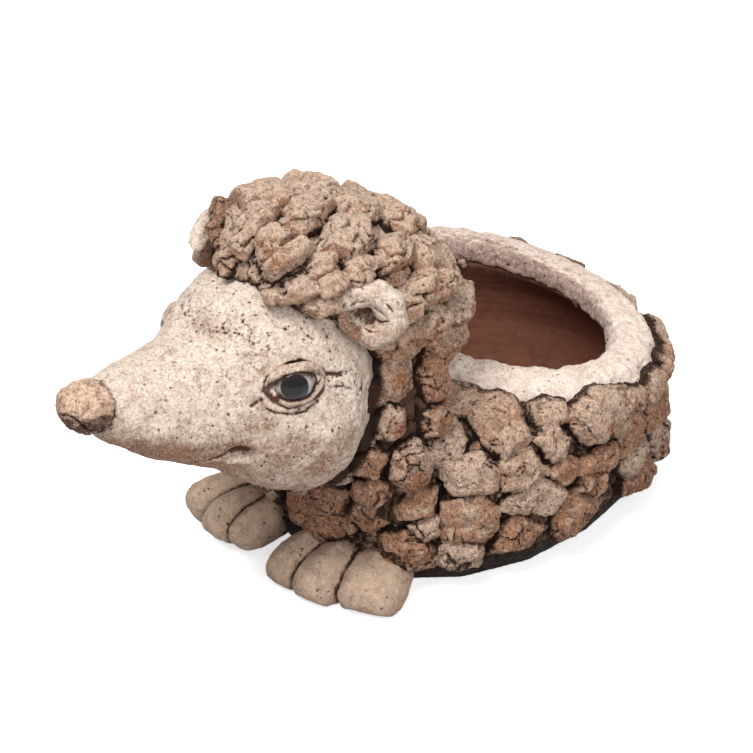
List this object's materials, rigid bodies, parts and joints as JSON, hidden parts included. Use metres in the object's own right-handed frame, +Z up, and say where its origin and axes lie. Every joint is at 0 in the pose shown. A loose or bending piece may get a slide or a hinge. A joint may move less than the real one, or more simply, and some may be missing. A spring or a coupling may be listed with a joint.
{
  "type": "planter",
  "caption": "Animal shaped planter: a lying hedgehog of rough fired clay with a planting bowl in its back and a drain hole.",
  "frame": {"origin": "centre of the drain hole in the bowl's flat foot, on the ground", "axes": "+Z up, nose towards -Y, the animal's left towards +X"},
  "size_m": [0.1948, 0.3544, 0.196],
  "materials": {
    "bowl_clay": "matt, dark umber wash outside, bare reddish brown inside",
    "rim_clay": "matt, worn pale",
    "face_clay": "matt, fine grog with small pits",
    "nose_clay": "matt, brown wash",
    "eye_glaze": "glossy",
    "paw_clay": "matt, worn pale",
    "mane_clay": "matt, rough grog with a dark wash in its hollows",
    "clod_clay": "matt, rough grog with a dark wash in its hollows"
  },
  "bodies": {
    "root": {"ear_left": "face_clay", "ear_right": "face_clay", "eyeball_left": "eye_glaze", "eyeball_right": "eye_glaze", "eyelid_lower_left": "face_clay", "eyelid_lower_right": "face_clay", "eyelid_upper_left": "face_clay", "eyelid_upper_right": "face_clay", "head": "face_clay", "mane_core": "mane_clay", "mane_locks_back": "mane_clay", "mane_locks_crown": "mane_clay", "mane_locks_front": "mane_clay", "neck_clods": "clod_clay", "nose": "nose_clay", "pot_bowl": "bowl_clay", "rim_coil": "rim_clay", "throat": "mane_clay", "toe_left_1": "paw_clay", "toe_left_2": "paw_clay", "toe_left_3": "paw_clay", "toe_right_1": "paw_clay", "toe_right_2": "paw_clay", "toe_right_3": "paw_clay", "wall_clods_row_1": "clod_clay", "wall_clods_row_2": "clod_clay", "wall_clods_row_3": "clod_clay", "wall_clods_row_4": "clod_clay", "wall_clods_row_5": "clod_clay"}
  },
  "joints": []
}
